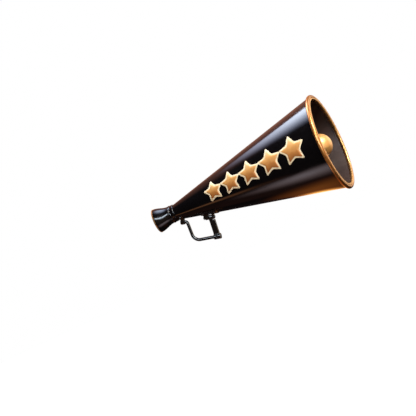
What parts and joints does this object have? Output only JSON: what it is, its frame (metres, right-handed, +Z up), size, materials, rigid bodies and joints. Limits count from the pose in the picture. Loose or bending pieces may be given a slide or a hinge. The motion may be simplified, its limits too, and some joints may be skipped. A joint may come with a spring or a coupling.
{
  "type": "cheer megaphone",
  "caption": "Glossy black cone megaphone with a gold rolled rim, a gold ball on the axis in the bell, raised stars on one side and a folding wire handle.",
  "frame": {"origin": "centre of the bell's front face, on the horn's axis", "axes": "+X out of the bell along the horn's axis, +Z up with the handle hanging below, and the stars face -Y"},
  "size_m": [0.3908, 0.2, 0.2],
  "materials": {
    "gloss_black": "polished",
    "mouthpiece_black": "polished",
    "rim_gold": "polished",
    "ball_gold": "polished",
    "star_cream": "satin",
    "star_gold": "satin",
    "spider_black": "satin",
    "bright_steel": "satin",
    "nut_brass": "satin",
    "bracket_black": "glossy",
    "handle_black": "glossy"
  },
  "bodies": {
    "horn": {"horn_shell": "gloss_black", "bell_rim": "rim_gold", "mouthpiece": "mouthpiece_black", "mouth_ring": "rim_gold", "star_border_1": "star_cream", "star_border_2": "star_cream", "star_border_3": "star_cream", "star_border_4": "star_cream", "star_border_5": "star_cream", "star_face_1": "star_gold", "star_face_2": "star_gold", "star_face_3": "star_gold", "star_face_4": "star_gold", "star_face_5": "star_gold", "spider": "spider_black", "stem": "bright_steel", "stem_nuts": "nut_brass", "hub_washers": "bright_steel", "ball_front_shell": "ball_gold", "ball_rear_shell": "ball_gold", "ball_boss": "nut_brass", "front_bracket": "bracket_black", "front_rivets": "bracket_black", "front_rivet_washers": "bright_steel", "rear_bracket": "bracket_black", "rear_rivets": "bracket_black", "rear_rivet_washers": "bright_steel", "hinge_pin": "bracket_black", "pin_clip": "bracket_black"},
    "handle": {"handle_arm": "handle_black", "handle_wire": "handle_black", "arm_pin": "handle_black", "wire_clip": "handle_black"}
  },
  "joints": [
    {"name": "handle_fold", "type": "hinge", "parent": "horn", "child": "handle", "pos_m": [-0.33149, 0, -0.02603], "axis": [0.9732, 0, -0.23], "range_deg": [-95, 95]}
  ]
}
